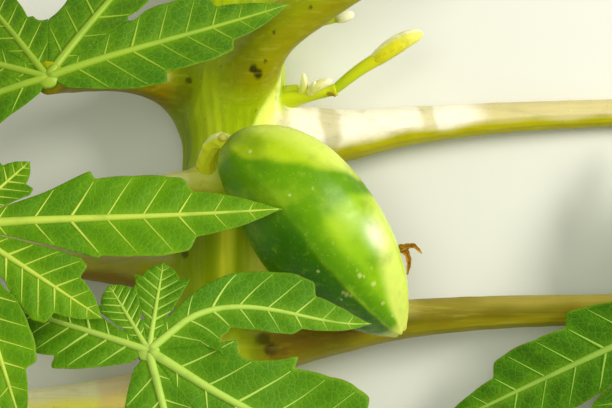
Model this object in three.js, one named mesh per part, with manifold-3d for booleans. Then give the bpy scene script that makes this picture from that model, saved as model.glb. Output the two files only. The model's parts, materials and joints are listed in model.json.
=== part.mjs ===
import * as THREE from 'three';
import Module from 'manifold-3d';

// A cut length of papaya stem with one green fruit, a spray of flower buds, its leaf stalks and four
// palmate leaves. It lies on its back: the stem runs along Y with its upper end towards +Y, +X is the
// right-hand side and +Z is up from the surface it lies on. Millimetres throughout.

// Driving sizes
const GAP = 0.3;
const STEM_LOW = -16;
const STEM_HIGH = 222;
const STEM_RADIUS_LOW = 25;
const STEM_RADIUS_HIGH = 23.6;
const STEM_SIDES = 24;
const STEM_STEPS = 16;
const LEAN_START = 150;
const LEAN = 0.00035;
const CUSHION_HEIGHT = 2.2;
const CUSHION_TURN = 0.5;
const CUSHION_REACH = 18;
const STALK_SIDES = 12;
const STALK_ROOT = 10;

const FRUIT_RADIUS = 29;
const FRUIT_RIB = 0.018;
const FRUIT_RIBS = 5;
const FRUIT_BELLY_PLACE = 0.918;
const FRUIT_BLUNTNESS = 0.489;
const FRUIT_TAPER = 0.3;
const FRUIT_TAPER_POWER = 6;
const FRUIT_STALK_END = 0.008;
const FRUIT_TIP = 0.995;
const FRUIT_SIDES = 25;
const FRUIT_STEPS = 16;
const FRUIT_STALK_RADIUS = 3.6;
const FRUIT_STALK_FLARE = 2.2;
const FRUIT_STALK_FLARE_RUN = 8;
const FRUIT_STALK_SIDES = 10;
const FRUIT_STALK_STEPS = 12;

const BUD_BELLY_PLACE = 0.8;
const BUD_BLUNTNESS = 0.6;
const BUD_FOOT_SHARE = 0.02;
const BUD_TIP_SHARE = 0.99;
const BUD_SIDES = 8;
const BUD_STEPS = 8;
const LONG_BUD_RADIUS = 4.3;
const LONG_BUD_BELLY = 0.42;
const LONG_BUD_SPREAD = 0.62;
const LONG_BUD_TIP_SHARE = 0.97;
const OVAL_BUD_RADIUS = 2.6;
const HORN_BUD_RADIUS = 2;
const BUD_STALK_RADIUS = 2.1;
const BUD_STALK_FLARE = 5;
const BUD_STALK_FLARE_RUN = 12;
const PEDICEL_RADIUS = 2.4;
const PEDICEL_SWELL = 0.03;
const BUD_STALK_SIDES = 7;
const BUD_STALK_STEPS = 5;
const UPPER_BUD_LENGTH = 9;
const UPPER_BUD_STALK_RADIUS = 1.6;
const UPPER_BUD_TIP_RADIUS = 0.4;
const UPPER_BUD_SWELL = 1.8;
const UPPER_BUD_FOOT = 1.1;
const UPPER_BUD_STEPS = 14;
const PETAL_RADIUS = 1.7;
const PETAL_TAPER = 0.035;
const PETAL_SIDES = 8;
const PETAL_STEPS = 8;

const LEAF_THICK = 2.6;
const LEAF_TILT = THREE.MathUtils.degToRad(25);
const VEIN_SLANT = THREE.MathUtils.degToRad(55);
const LOBE_TEETH = 3;
const LOBE_FOOT_WIDTH = 0.16;
const LOBE_FULLNESS = 0.75;
const LOBE_SWELL = 1.1;
const LOBE_FOOT_ALONG = 0.12;
const LOBE_FOOT_ACROSS = 0.45;
const TOOTH_DEPTH = 0.3;
const TOOTH_STEP = 0.02;
const LAST_TOOTH_STEP = 0.3;
const SINUS_SHARE = 0.4;
const MARGIN_CLEARANCE = 1.2;
const MARGIN_STEP_IN = 0.5;
const WIDEST_MARGIN = 80;
const BLADE_RINGS = [0.34, 0.68, 1];

const SKIN_GREEN = '#94a812';
const STALK_OLIVE = '#8a8628';
const FRUIT_GREEN = '#5c9410';
const LEAF_GREEN = '#5a8f1e';
const BUD_CREAM = '#dcd65a';
const DRIED_BROWN = '#8a5a1c';

const wasm = await Module();
wasm.setup();

const v = (x, y, z) => new THREE.Vector3(x, y, z);

// A closed body from rings of equal point count, each end closed by a fan to its middle.
function loft(rings, lowEnd = middle(rings[0]), highEnd = middle(rings[rings.length - 1])) {
  const count = rings[0].length;
  const points = rings.flat();
  const faces = [];
  for (let r = 0; r < rings.length - 1; r++) {
    for (let i = 0; i < count; i++) {
      const a = r * count + i;
      const b = r * count + (i + 1) % count;
      faces.push(a, b, b + count, a, b + count, a + count);
    }
  }
  const last = (rings.length - 1) * count;
  const lowMiddle = points.push(lowEnd) - 1;
  const highMiddle = points.push(highEnd) - 1;
  for (let i = 0; i < count; i++) {
    const next = (i + 1) % count;
    faces.push(lowMiddle, next, i, highMiddle, last + i, last + next);
  }
  return solid(points, faces);
}

function middle(ring) {
  return ring.reduce((sum, p) => sum.add(p), v(0, 0, 0)).divideScalar(ring.length);
}

// A solid with its faces turned outwards, whatever way round they were listed.
function solid(points, faces) {
  let volume = 0;
  for (let f = 0; f < faces.length; f += 3) {
    const [a, b, c] = [points[faces[f]], points[faces[f + 1]], points[faces[f + 2]]];
    volume += a.dot(b.clone().cross(c));
  }
  const triVerts = Uint32Array.from(volume < 0 ? faces.toReversed() : faces);
  const vertProperties = Float32Array.from(points.flatMap((p) => p.toArray()));
  return new wasm.Manifold(new wasm.Mesh({ numProp: 3, vertProperties, triVerts }));
}

// A round limb along a smooth path; radiusAt takes the distance from the path's start and the turn.
function limb(path, radiusAt, sides, steps, grow = 0) {
  const curve = new THREE.CatmullRomCurve3(path.map((p) => v(...p)));
  const frames = curve.computeFrenetFrames(steps, false);
  const length = curve.getLength();
  const rings = [];
  for (let i = 0; i <= steps; i++) {
    const centre = curve.getPointAt(i / steps);
    const ring = [];
    for (let j = 0; j < sides; j++) {
      const turn = 2 * Math.PI * j / sides;
      const radius = radiusAt(length * i / steps, turn, length) + grow;
      ring.push(centre.clone()
        .addScaledVector(frames.normals[i], radius * Math.cos(turn))
        .addScaledVector(frames.binormals[i], radius * Math.sin(turn)));
    }
    rings.push(ring);
  }
  return loft(rings);
}

// Leaf stalks: the path starts inside the stem; base, end and flare give the tapering radius.
const STALKS = {
  petiole_upper_right: { base: 13.5, end: 9.8, flare: 32,
    path: [[0, 158, 32], [10, 172, 50], [20, 185, 59], [37, 197, 66], [54, 207.5, 72], [84, 225, 81]] },
  petiole_upper_left: { base: 17.5, end: 7, flare: 13,
    path: [[-12, 161, 24], [-28, 164, 30], [-48, 166, 52], [-65, 163.5, 86], [-74, 160, 122]] },
  petiole_right: { base: 17.5, end: 6.2, flare: 45,
    path: [[16, 137.5, 27], [30, 138, 25], [53, 139.8, 22], [80, 144, 18], [128, 148.6, 12.4],
      [183, 151.3, 7.8], [207, 152, 6.6]] },
  petiole_left: { base: 9, end: 5.6, flare: 26,
    path: [[-5, 117, 36], [-18, 115, 50], [-40, 112, 62], [-75, 105, 88], [-110.5, 97.8, 125]] },
  petiole_lower_left: { base: 12.5, end: 6.6, flare: 36,
    path: [[-16, 80, 25], [-30, 78, 24.5], [-48, 77, 22], [-72, 79, 17], [-105, 84, 11], [-136, 90, 7.4]] },
  petiole_lower_right: { base: 14.5, end: 6.6, flare: 60,
    path: [[6, 40, 36], [18, 42, 40], [32, 44.6, 38.5], [53, 48.1, 34], [81, 52.4, 29], [127, 55.5, 25],
      [175, 57, 28], [215.3, 59.4, 37.5]] },
  petiole_bottom_left: { base: 14.5, end: 8, flare: 34,
    path: [[-15, 20, 27], [-28, 18, 30], [-48, 15.5, 33.5], [-82, 12.5, 38], [-128, 8, 42]] },
  petiole_front: { base: 11, end: 5.6, flare: 22,
    path: [[-8, 36, 38], [-12, 38, 58], [-21, 42, 90], [-31, 45.9, 128]] },
};

// The stem's own shape
function stemRadius(y) {
  const share = (y - STEM_LOW) / (STEM_HIGH - STEM_LOW);
  return THREE.MathUtils.lerp(STEM_RADIUS_LOW, STEM_RADIUS_HIGH, share);
}

function stemCentre(y) {
  const lean = LEAN * Math.max(0, LEAN_START - y) ** 2;
  return v(-lean, y, stemRadius(y));
}

// Each leaf stalk springs from a low cushion: its place is a turn round the stem and a height along it.
const cushions = Object.values(STALKS).map(({ path }) => {
  const [x, y, z] = path[1];
  const centre = stemCentre(y);
  return { turn: Math.atan2(x - centre.x, z - centre.z), y };
});

function stemSurface(turn, y, grow) {
  let radius = stemRadius(y) + grow;
  for (const cushion of cushions) {
    const around = Math.atan2(Math.sin(turn - cushion.turn), Math.cos(turn - cushion.turn)) / CUSHION_TURN;
    const along = (y - cushion.y) / CUSHION_REACH;
    radius += CUSHION_HEIGHT * Math.exp(-around * around - along * along);
  }
  return stemCentre(y).add(v(radius * Math.sin(turn), 0, radius * Math.cos(turn)));
}

function stem(grow = 0) {
  const rings = [];
  for (let i = 0; i <= STEM_STEPS; i++) {
    const y = THREE.MathUtils.lerp(STEM_LOW - grow, STEM_HIGH + grow, i / STEM_STEPS);
    const ring = [];
    for (let j = 0; j < STEM_SIDES; j++) ring.push(stemSurface(2 * Math.PI * j / STEM_SIDES, y, grow));
    rings.push(ring);
  }
  return loft(rings);
}

function stalk({ path, base, end, flare }, grow = 0) {
  const radiusAt = (along) => end + (base - end) * Math.exp(-Math.max(0, along - STALK_ROOT) / flare);
  return limb(path, radiusAt, STALK_SIDES, path.length + 5, grow);
}

// The fruit is an oblong with a blunt shoulder, five soft ribs and a tapering tip.
const FRUIT_PATH = [
  [-1.5, 134.9, 77], [23.8, 116.2, 74], [42.5, 92.8, 70], [60, 70.8, 66], [77.3, 48.4, 61.5],
];

function fruitRadius(along, turn, length) {
  const share = THREE.MathUtils.clamp(along / length, FRUIT_STALK_END, FRUIT_TIP);
  const belly = Math.sin(Math.PI * share ** FRUIT_BELLY_PLACE) ** FRUIT_BLUNTNESS;
  const taper = 1 - FRUIT_TAPER * share ** FRUIT_TAPER_POWER;
  return FRUIT_RADIUS * belly * taper * (1 + FRUIT_RIB * Math.cos(FRUIT_RIBS * turn));
}

function fruit(grow = 0) {
  return limb(FRUIT_PATH, fruitRadius, FRUIT_SIDES, FRUIT_STEPS, grow);
}

const FRUIT_STALK = [[-11, 120, 44], [-12, 125, 53], [-9.5, 131, 62], [-5, 135.5, 70], [3, 133, 76]];

function fruitStalk(grow = 0) {
  const radiusAt = (along) =>
    FRUIT_STALK_RADIUS + FRUIT_STALK_FLARE * Math.exp(-along / FRUIT_STALK_FLARE_RUN);
  return limb(FRUIT_STALK, radiusAt, FRUIT_STALK_SIDES, FRUIT_STALK_STEPS, grow);
}

// Flower buds: a plump spindle, narrow at its foot and pointed at its tip.
function budSwell(share) {
  const place = THREE.MathUtils.clamp(share, BUD_FOOT_SHARE, BUD_TIP_SHARE);
  return Math.sin(Math.PI * place ** BUD_BELLY_PLACE) ** BUD_BLUNTNESS;
}

function spindle(path, radius, grow = 0) {
  const radiusAt = (along, turn, length) => radius * budSwell(along / length);
  return limb(path, radiusAt, BUD_SIDES, BUD_STEPS, grow);
}

// The long bud is blunt: an oval whose widest place is LONG_BUD_BELLY of the way along, cut by its foot.
function longBud(grow = 0) {
  const radiusAt = (along, turn, length) => {
    const place = (Math.min(LONG_BUD_TIP_SHARE, along / length) - LONG_BUD_BELLY) / LONG_BUD_SPREAD;
    return LONG_BUD_RADIUS * Math.sqrt(1 - place * place);
  };
  return limb(LONG_BUD, radiusAt, BUD_SIDES, BUD_STEPS, grow);
}

const BUD_STALK = [[18, 153, 31], [28, 156.3, 35], [38, 158.4, 38], [48.5, 160.5, 40]];
const PEDICEL = [[46, 159, 39.5], [52, 164, 41], [60, 170, 42.5], [69, 175.5, 44]];
const LONG_BUD = [[66.5, 174, 43.5], [73, 179, 45], [80, 183, 46], [88.5, 186.5, 47]];
const OVAL_BUD = [[34.5, 157, 37], [39, 161.5, 41], [46.5, 164.8, 43.5]];
const HORN_BUD = [[30, 156, 35], [33.2, 161.5, 39.5], [33.2, 168, 42.5]];

function budSpray() {
  const mainRadius = (along) => BUD_STALK_RADIUS + BUD_STALK_FLARE * Math.exp(-along / BUD_STALK_FLARE_RUN);
  const main = limb(BUD_STALK, mainRadius, BUD_STALK_SIDES, BUD_STALK_STEPS);
  const pedicelRadius = (along) => PEDICEL_RADIUS + PEDICEL_SWELL * along;
  const pedicel = limb(PEDICEL, pedicelRadius, BUD_STALK_SIDES, BUD_STALK_STEPS);
  return main.add(pedicel).add(spindle(OVAL_BUD, OVAL_BUD_RADIUS)).add(spindle(HORN_BUD, HORN_BUD_RADIUS));
}

const UPPER_BUD = [[18, 189, 24], [32, 192, 26], [44, 193.5, 28.5], [57, 197, 30.5]];

function upperBud() {
  const radiusAt = (along, turn, length) => {
    const share = (length - along) / UPPER_BUD_LENGTH;
    if (share >= 1) return UPPER_BUD_STALK_RADIUS;
    return UPPER_BUD_TIP_RADIUS + UPPER_BUD_SWELL * budSwell(share) + UPPER_BUD_FOOT * share;
  };
  return limb(UPPER_BUD, radiusAt, BUD_SIDES, UPPER_BUD_STEPS);
}

// Withered petals that still cling to the fruit's flank
const PETALS = [
  [[74, 86.5, 62.5], [79.5, 87.5, 63.3], [83, 88, 64.8], [86.8, 84.6, 64.5]],
  [[74, 86, 62.3], [79, 85.5, 62.8], [81, 81, 62.5], [80.4, 74.8, 61]],
];

function witheredFlower() {
  const radiusAt = (along) => PETAL_RADIUS - PETAL_TAPER * along;
  const [upper, lower] = PETALS.map((path) => limb(path, radiusAt, PETAL_SIDES, PETAL_STEPS));
  return upper.add(lower);
}

// Leaves: lobes fan out from the stalk, each a toothed blade whose veins slant forwards.
// A lobe is [angle in degrees, length, half width]; blades curve away from the viewer at the rim.
const LEAVES = {
  leaf_upper_left: { centre: [-74, 160, 124], tilt: LEAF_TILT, sag: 26, reach: 95, notch: 12,
    lobes: [[21.5, 109, 18], [59, 108, 19], [126, 74, 13], [162, 84, 16], [198, 92, 18]] },
  leaf_middle_left: { centre: [-110.5, 97.8, 127], tilt: LEAF_TILT, sag: 24, reach: 95, notch: 12,
    lobes: [[6.5, 136, 24], [50, 42, 15], [98, 74, 19], [148, 88, 21], [200, 92, 22], [246, 90, 20],
      [290, 92, 19], [328, 72, 21]] },
  leaf_lower_left: { centre: [-31, 45.9, 130], tilt: LEAF_TILT, sag: 22, reach: 95, notch: 12,
    lobes: [[-72, 96, 22], [-29, 126, 32], [13, 96, 22], [43, 66, 19], [80, 42, 17], [120, 36, 16],
      [160, 80, 20]] },
  leaf_right: { centre: [215.3, 59.4, 46], tilt: 0, sag: 36, reach: 92, notch: 40,
    lobes: [[-153, 136, 24], [-117, 112, 25], [-74, 118, 26], [-31, 122, 27], [12, 124, 27], [55, 112, 26],
      [97, 88, 22]] },
};

// Length of the slanted vein from the midrib to the edge, at a share of the lobe's length.
function veinLength(share, width) {
  const place = Math.min(1, LOBE_FOOT_WIDTH + (1 - LOBE_FOOT_WIDTH) * share ** LOBE_FULLNESS);
  const swell = Math.sin(Math.PI * place) ** LOBE_SWELL;
  const tooth = (LOBE_TEETH * share) % 1;
  return width * swell * (1 - TOOTH_DEPTH * (1 - tooth)) / Math.sin(VEIN_SLANT);
}

// One margin of a lobe from its foot to its tip, as [along, across]: each tooth rises to its point
// and drops back at once. A margin stays short of the middle line to the next lobe, half a gap in
// degrees away, and each point of it a little shorter than the one before.
function lobeMargin(length, width, half) {
  const margin = [[LOBE_FOOT_ALONG * length, LOBE_FOOT_ACROSS * width]];
  for (let tooth = 1; tooth <= LOBE_TEETH; tooth++) {
    for (const step of tooth < LOBE_TEETH ? [-TOOTH_STEP, TOOTH_STEP] : [-LAST_TOOTH_STEP]) {
      const share = (tooth + step) / LOBE_TEETH;
      const vein = veinLength(share, width);
      margin.push([share * length + vein * Math.cos(VEIN_SLANT), vein * Math.sin(VEIN_SLANT)]);
    }
  }
  return margin.map(([along, across], i) => {
    const widest = Math.min(WIDEST_MARGIN, half - MARGIN_CLEARANCE) - MARGIN_STEP_IN * i;
    return [along, Math.min(across, along * Math.tan(THREE.MathUtils.degToRad(widest)))];
  });
}

// Half the angle in degrees from a lobe to the next one round, where the blades of the two meet.
function halfGap(lobes, i) {
  const next = (i + 1) % lobes.length;
  return THREE.MathUtils.euclideanModulo(lobes[next][0] - lobes[i][0], 360) / 2;
}

// The whole blade's outline about its stalk: every lobe's two margins, a sinus between neighbours and
// a notch where the stalk comes in.
function bladeOutline({ lobes, notch }) {
  const outline = [];
  const place = (degrees, along, across) => {
    const angle = THREE.MathUtils.degToRad(degrees);
    outline.push([along * Math.cos(angle) - across * Math.sin(angle),
      along * Math.sin(angle) + across * Math.cos(angle)]);
  };
  lobes.forEach(([degrees, length, width], i) => {
    const first = i === 0;
    const last = i === lobes.length - 1;
    const before = lobeMargin(length, width, halfGap(lobes, (i + lobes.length - 1) % lobes.length));
    const after = lobeMargin(length, width, halfGap(lobes, i)).reverse();
    if (!first) before.shift();
    if (!last) after.pop();
    before.forEach(([along, across]) => place(degrees, along, -across));
    place(degrees, length, 0);
    after.forEach(([along, across]) => place(degrees, along, across));
    if (last) {
      place(degrees + halfGap(lobes, i), notch, 0);
    } else {
      const [nextDegrees, nextLength] = lobes[i + 1];
      place((degrees + nextDegrees) / 2, SINUS_SHARE * Math.min(length, nextLength), 0);
    }
  });
  return outline;
}

// The blade as a closed body: rings of the outline drawn in towards the stalk, above and below.
function blade(leaf, grow = 0) {
  const outline = bladeOutline(leaf);
  const up = v(0, Math.sin(leaf.tilt), Math.cos(leaf.tilt)).multiplyScalar(LEAF_THICK / 2 + grow);
  const ring = (share, lift) => outline.map(([x, y]) => bladePoint(leaf, x * share, y * share)
    .addScaledVector(up, lift));
  const upper = BLADE_RINGS.map((share) => ring(share, 1));
  const lower = BLADE_RINGS.toReversed().map((share) => ring(share, -1));
  const heart = (lift) => bladePoint(leaf, 0, 0).addScaledVector(up, lift);
  return loft([...upper, ...lower], heart(1), heart(-1));
}

// A point of the blade's middle surface, which curves away from the viewer towards its rim.
function bladePoint({ centre, tilt, sag, reach }, x, y) {
  const spread = x * x + y * y;
  const drop = sag * spread / (spread + reach * reach);
  return v(centre[0] + x, centre[1] + y * Math.cos(tilt) - drop * Math.sin(tilt),
    centre[2] - y * Math.sin(tilt) - drop * Math.cos(tilt));
}

// Assembly
const lying = new THREE.Group();

// The part of a cut body that matters: slivers that a cut leaves behind are dropped.
function largest(body) {
  return body.decompose().reduce((best, one) => (one.volume() > best.volume() ? one : best));
}

function add(name, body, color, roughness) {
  const mesh = body.getMesh();
  const geometry = new THREE.BufferGeometry();
  geometry.setAttribute('position', new THREE.BufferAttribute(Float32Array.from(mesh.vertProperties), 3));
  geometry.setIndex(new THREE.BufferAttribute(Uint32Array.from(mesh.triVerts), 1));
  geometry.computeVertexNormals();
  const part = new THREE.Mesh(geometry, new THREE.MeshStandardMaterial({ color, roughness, metalness: 0 }));
  part.name = name;
  lying.add(part);
}

const stemClear = stem(GAP);
const fruitClear = fruit(GAP);
const bladesClear = Object.values(LEAVES).map((leaf) => blade(leaf, GAP));

add('stem', stem(), SKIN_GREEN, 0.6);
for (const [name, spec] of Object.entries(STALKS)) {
  let body = stalk(spec).subtract(stemClear);
  for (const clear of bladesClear) body = body.subtract(clear);
  add(name, largest(body), STALK_OLIVE, 0.55);
}
add('fruit', fruit(), FRUIT_GREEN, 0.4);
add('fruit_stalk', largest(fruitStalk().subtract(stemClear).subtract(fruitClear)
  .subtract(stalk(STALKS.petiole_left, GAP))), SKIN_GREEN, 0.6);
add('long_bud', longBud(), BUD_CREAM, 0.5);
add('bud_spray', largest(budSpray().subtract(stemClear).subtract(longBud(GAP))
  .subtract(stalk(STALKS.petiole_right, GAP))), SKIN_GREEN, 0.5);
add('upper_bud', largest(upperBud().subtract(stemClear)
  .subtract(stalk(STALKS.petiole_upper_right, GAP))), BUD_CREAM, 0.5);
add('withered_flower', largest(witheredFlower().subtract(fruitClear)), DRIED_BROWN, 0.8);
for (const [name, leaf] of Object.entries(LEAVES)) add(name, blade(leaf), LEAF_GREEN, 0.7);

// The origin is under the middle of the whole cutting.
const box = new THREE.Box3().setFromObject(lying);
const centre = box.getCenter(v(0, 0, 0));
lying.position.set(-centre.x, -centre.y, -box.min.z);
const cutting = new THREE.Group();
cutting.add(lying);
export default cutting;
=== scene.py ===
import json
import math

import bmesh
import bpy
import numpy as np
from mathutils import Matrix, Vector


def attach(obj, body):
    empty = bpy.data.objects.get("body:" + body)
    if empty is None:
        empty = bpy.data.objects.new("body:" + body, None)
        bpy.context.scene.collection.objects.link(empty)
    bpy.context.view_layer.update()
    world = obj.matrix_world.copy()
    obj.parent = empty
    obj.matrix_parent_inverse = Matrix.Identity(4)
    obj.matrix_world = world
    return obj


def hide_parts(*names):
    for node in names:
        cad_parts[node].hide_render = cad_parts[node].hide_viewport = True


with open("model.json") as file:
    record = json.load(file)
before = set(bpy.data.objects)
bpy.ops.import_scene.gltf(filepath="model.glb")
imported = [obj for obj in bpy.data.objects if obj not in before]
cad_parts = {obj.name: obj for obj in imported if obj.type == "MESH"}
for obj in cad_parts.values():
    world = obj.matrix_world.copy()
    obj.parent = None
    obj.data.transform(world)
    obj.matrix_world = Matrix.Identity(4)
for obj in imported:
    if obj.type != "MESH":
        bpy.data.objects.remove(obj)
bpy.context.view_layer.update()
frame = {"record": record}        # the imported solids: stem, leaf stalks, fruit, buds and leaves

# The cutting is laid out in millimetres about the foot of the stem, as its solids are: the stem
# runs along Y, +X is its right-hand side and Z rises from the surface it lies on.
MM = 0.001
CLEARANCE = 0.05    # least height over that surface

# Stem
STEM_LOW, STEM_HIGH = -16.0, 222.0
STEM_RADIUS_LOW, STEM_RADIUS_HIGH = 25.0, 23.6
LEAN_START, LEAN = 150.0, 0.00035
CUSHION_HEIGHT, CUSHION_TURN, CUSHION_REACH = 2.2, 0.5, 18.0
STEM_MEAN_RADIUS = 24.0
STEM_BORE = 7.5
STEM_RINGS, STEM_SIDES = 290, 210

# The join of stem and stalks: how far each sinks under the other's skin, how wide the change-over
# is, how often and by what share a point moves on to the joined skin, and how far in it may go
SUNK, CHANGE_OVER = 0.07, 1.5
DRAW_STEPS, DRAW_SHARE, DRAW_IN = 8, 0.8, 1.5
STEM_DRAW_OUT, STALK_DRAW_OUT = 9.0, 12.0

# Leaf stalks: base and end radius, the length over which the base flares out from STALK_ROOT on,
# the radius of the hollow in the end where that is a cut, and the path from inside the stem
STALK_ROOT = 10.0
STALK_STEP, STALK_SIDES = 0.95, 84
STALKS = {
    "petiole_upper_right": dict(base=13.5, end=9.8, flare=32, bore=5.2, path=[
        (0, 158, 32), (10, 172, 50), (20, 185, 59), (37, 197, 66), (54, 207.5, 72), (84, 225, 81)]),
    "petiole_upper_left": dict(base=17.5, end=7, flare=13, bore=0, path=[
        (-12, 161, 24), (-28, 164, 30), (-48, 166, 52), (-65, 163.5, 86), (-74, 160, 122)]),
    "petiole_right": dict(base=17.5, end=6.2, flare=45, bore=3.3, path=[
        (16, 137.5, 27), (30, 138, 25), (53, 139.8, 22), (80, 144, 18), (128, 148.6, 12.4),
        (183, 151.3, 7.8), (207, 152, 6.6)]),
    "petiole_left": dict(base=9, end=5.6, flare=26, bore=0, path=[
        (-5, 117, 36), (-18, 115, 50), (-40, 112, 62), (-75, 105, 88), (-110.5, 97.8, 125)]),
    "petiole_lower_left": dict(base=12.5, end=6.6, flare=36, bore=3.4, path=[
        (-16, 80, 25), (-30, 78, 24.5), (-48, 77, 22), (-72, 79, 17), (-105, 84, 11),
        (-136, 90, 7.4)]),
    "petiole_lower_right": dict(base=14.5, end=6.6, flare=60, bore=0, path=[
        (6, 40, 36), (18, 42, 40), (32, 44.6, 38.5), (53, 48.1, 34), (81, 52.4, 29),
        (127, 55.5, 25), (175, 57, 28), (215.3, 59.4, 37.5)]),
    "petiole_bottom_left": dict(base=14.5, end=8, flare=34, bore=4.2, path=[
        (-15, 20, 27), (-28, 18, 30), (-48, 15.5, 33.5), (-82, 12.5, 38), (-128, 8, 42)]),
    "petiole_front": dict(base=11, end=5.6, flare=22, bore=0, path=[
        (-8, 36, 38), (-12, 38, 58), (-21, 42, 90), (-31, 45.9, 128)]),
}

# Fruit and its stalk
FRUIT_RADIUS = 29.0
FRUIT_RIB, FRUIT_RIBS = 0.018, 5
FRUIT_RINGS, FRUIT_SIDES = 250, 180
FRUIT_PATH = [
    (-1.5, 134.9, 77), (23.8, 116.2, 74), (42.5, 92.8, 70), (60, 70.8, 66), (77.3, 48.4, 61.5)]
FRUIT_STALK = [(-11, 120, 44), (-12, 125, 53), (-9.5, 131, 62), (-5, 135.5, 70), (3, 133, 76)]
FLAP = [(-11.5, 122.5, 45), (-15.0, 124.0, 47.5), (-18.8, 124.4, 48.2)]

# Flower buds
BUD_STALK = [(18, 153, 31), (28, 156.3, 35), (38, 158.4, 38), (48.5, 160.5, 40)]
PEDICEL = [(46, 159, 39.5), (52, 164, 41), (60, 170, 42.5), (69, 175.5, 44)]
LONG_BUD = [(66.5, 174, 43.5), (73, 179, 45), (80, 183, 46), (88.5, 186.5, 47)]
OVAL_BUD = [(34.5, 157, 37), (39, 161.5, 41), (46.5, 164.8, 43.5)]
HORN_BUD = [(30, 156, 35), (33.2, 161.5, 39.5), (33.2, 168, 42.5)]
SMALL_BUD = [(36.5, 157.5, 38), (37.5, 161, 41), (38.6, 164.3, 43.2)]
BRACT = [(45.0, 158.6, 41.0), (46.8, 158.0, 42.6), (48.0, 156.9, 43.0)]
AXIL_TISSUE = [(20, 157, 29), (26, 160.3, 33), (31, 161.5, 36.5)]
UPPER_BUD = [(18, 189, 24), (32, 192, 26), (44, 193.5, 28.5), (57, 197, 30.5)]
PETALS = [
    [(74, 86.5, 62.5), (79.5, 87.5, 63.3), (83, 88, 64.8), (86.8, 84.6, 64.5)],
    [(74, 86, 62.3), (79, 85.5, 62.8), (81, 81, 62.5), (80.4, 74.8, 61)],
]

# Leaves: where the stalk meets the blade, how far the blade tilts and sags, and its lobes, each an
# angle in degrees, a length, a half width and, where it curves, how far the tip swings. sides tells
# what is special about one side of one lobe, by the lobe's number and +1 for its left or -1 for its
# right: a share of the width, the depth of the hollow before the first tooth and that hollow's run.
LEAF_TILT = math.radians(25)
VEIN_SLANT = math.radians(55)
LOBE_TEETH = 3
SIDE_VEINS = 9
SINUS_SHARE = 0.4
LEAF_THICK = 0.7
BOSS_RADIUS, BOSS_HEIGHT = 4.6, 1.9
PLAIN_SIDE = (1.0, 1.6, 0.06)
LEAVES = {
    "leaf_upper_left": dict(centre=(-74, 160, 124), tilt=LEAF_TILT, sag=26, reach=95, seed=3,
        lobes=[(24, 111, 21), (60, 108, 19), (126, 74, 13), (162, 84, 16), (198, 92, 18)]),
    "leaf_middle_left": dict(centre=(-110.5, 97.8, 127), tilt=LEAF_TILT, sag=24, reach=95, seed=8,
        lobes=[(6.5, 136, 24), (50, 42, 15), (98, 74, 19), (148, 88, 21), (200, 92, 22),
               (246, 90, 20), (290, 92, 19), (328, 72, 21)]),
    "leaf_lower_left": dict(centre=(-31, 45.9, 130), tilt=LEAF_TILT, sag=22, reach=95, seed=13,
        lobes=[(-74, 96, 22), (-32, 126, 33, 7), (43, 95, 22, -33), (84, 42, 18), (121, 36, 16),
               (160, 80, 20)],
        sides={(1, 1): (1.0, 10, 0.15), (2, -1): (0.6, 3, 0.08)}),
    "leaf_right": dict(centre=(215.3, 59.4, 46), tilt=0, sag=36, reach=92, seed=21,
        lobes=[(-153, 136, 24), (-117, 112, 25), (-74, 118, 26), (-31, 122, 27), (12, 124, 27),
               (55, 112, 26), (97, 88, 22)]),
}

# Camera: straight above the cutting, with VIEW_WIDTH of the layout across the picture at the
# height VIEW_WIDTH_AT
VIEW_CENTRE = (34.3, 107.0)
VIEW_HEIGHT = 845.0
VIEW_WIDTH_AT, VIEW_WIDTH = 45.0, 284.58
SENSOR = 36.0

# Sky, lights and floor, in metres. A light has a name, a place, a target, a side, a power and a
# colour, and tells if shiny skins mirror it.
SKY_COLOUR, SKY_STRENGTH = (0.98, 1.0, 0.86, 1), 0.42
LIGHTS = [
    ("key", (0.95, 0.42, 0.75), (0, 0, 0.06), 0.42, 13, (1.0, 0.97, 0.86), True),
    ("fill", (-0.14, 0.12, 0.95), (0, 0, 0.04), 0.4, 2.8, (1.0, 1.0, 0.9), False),
]
FLOOR_HALF = 3.0
FLOOR_COLOUR = (0.78, 0.78, 0.74, 1)


def stem_radius(y):
    """A straight taper from the lower cut to the upper one."""
    return np.interp(y, (STEM_LOW, STEM_HIGH), (STEM_RADIUS_LOW, STEM_RADIUS_HIGH))


def stem_centre(y):
    """The stem lies on its back, so its axis is one radius up. Below LEAN_START it leans off to -X
    by LEAN * (LEAN_START - y)^2."""
    lean = LEAN * np.maximum(0, LEAN_START - y) ** 2
    return np.stack([-lean, y, stem_radius(y)], -1)


# Where the layout's zero lies in the frame: the mount on the lower cut is the middle of that cut.
mount = np.array(frame["record"]["mounts"][0]["pos_m"])
ZERO = mount - stem_centre(np.array(STEM_LOW)) * MM


def smooth_path(points, count):
    """A Catmull-Rom curve through the points, by the square root of their spacing, cut into equal
    steps."""
    p = np.array(points, float)
    p = np.vstack([2 * p[0] - p[1], p, 2 * p[-1] - p[-2]])
    knots = np.concatenate([[0], np.cumsum(np.sqrt(np.linalg.norm(np.diff(p, axis=0), axis=1)))])
    t = np.linspace(knots[1], knots[-2], 400)
    i = np.clip(np.searchsorted(knots, t, "right") - 1, 1, len(p) - 3)

    def mix(a, b, low, high):
        share = ((t - knots[low]) / (knots[high] - knots[low]))[:, None]
        return a * (1 - share) + b * share

    a = [mix(p[i + k - 1], p[i + k], i + k - 1, i + k) for k in range(3)]
    b = [mix(a[k], a[k + 1], i + k - 1, i + k + 1) for k in range(2)]
    fine = mix(b[0], b[1], i, i + 1)
    run = run_length(fine)
    return at_runs(fine, run, np.linspace(0, run[-1], count))


def at_runs(path, run, wanted):
    """Places of a path where its run has the wanted values."""
    return np.stack([np.interp(wanted, run, path[:, k]) for k in range(3)], -1)


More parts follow.
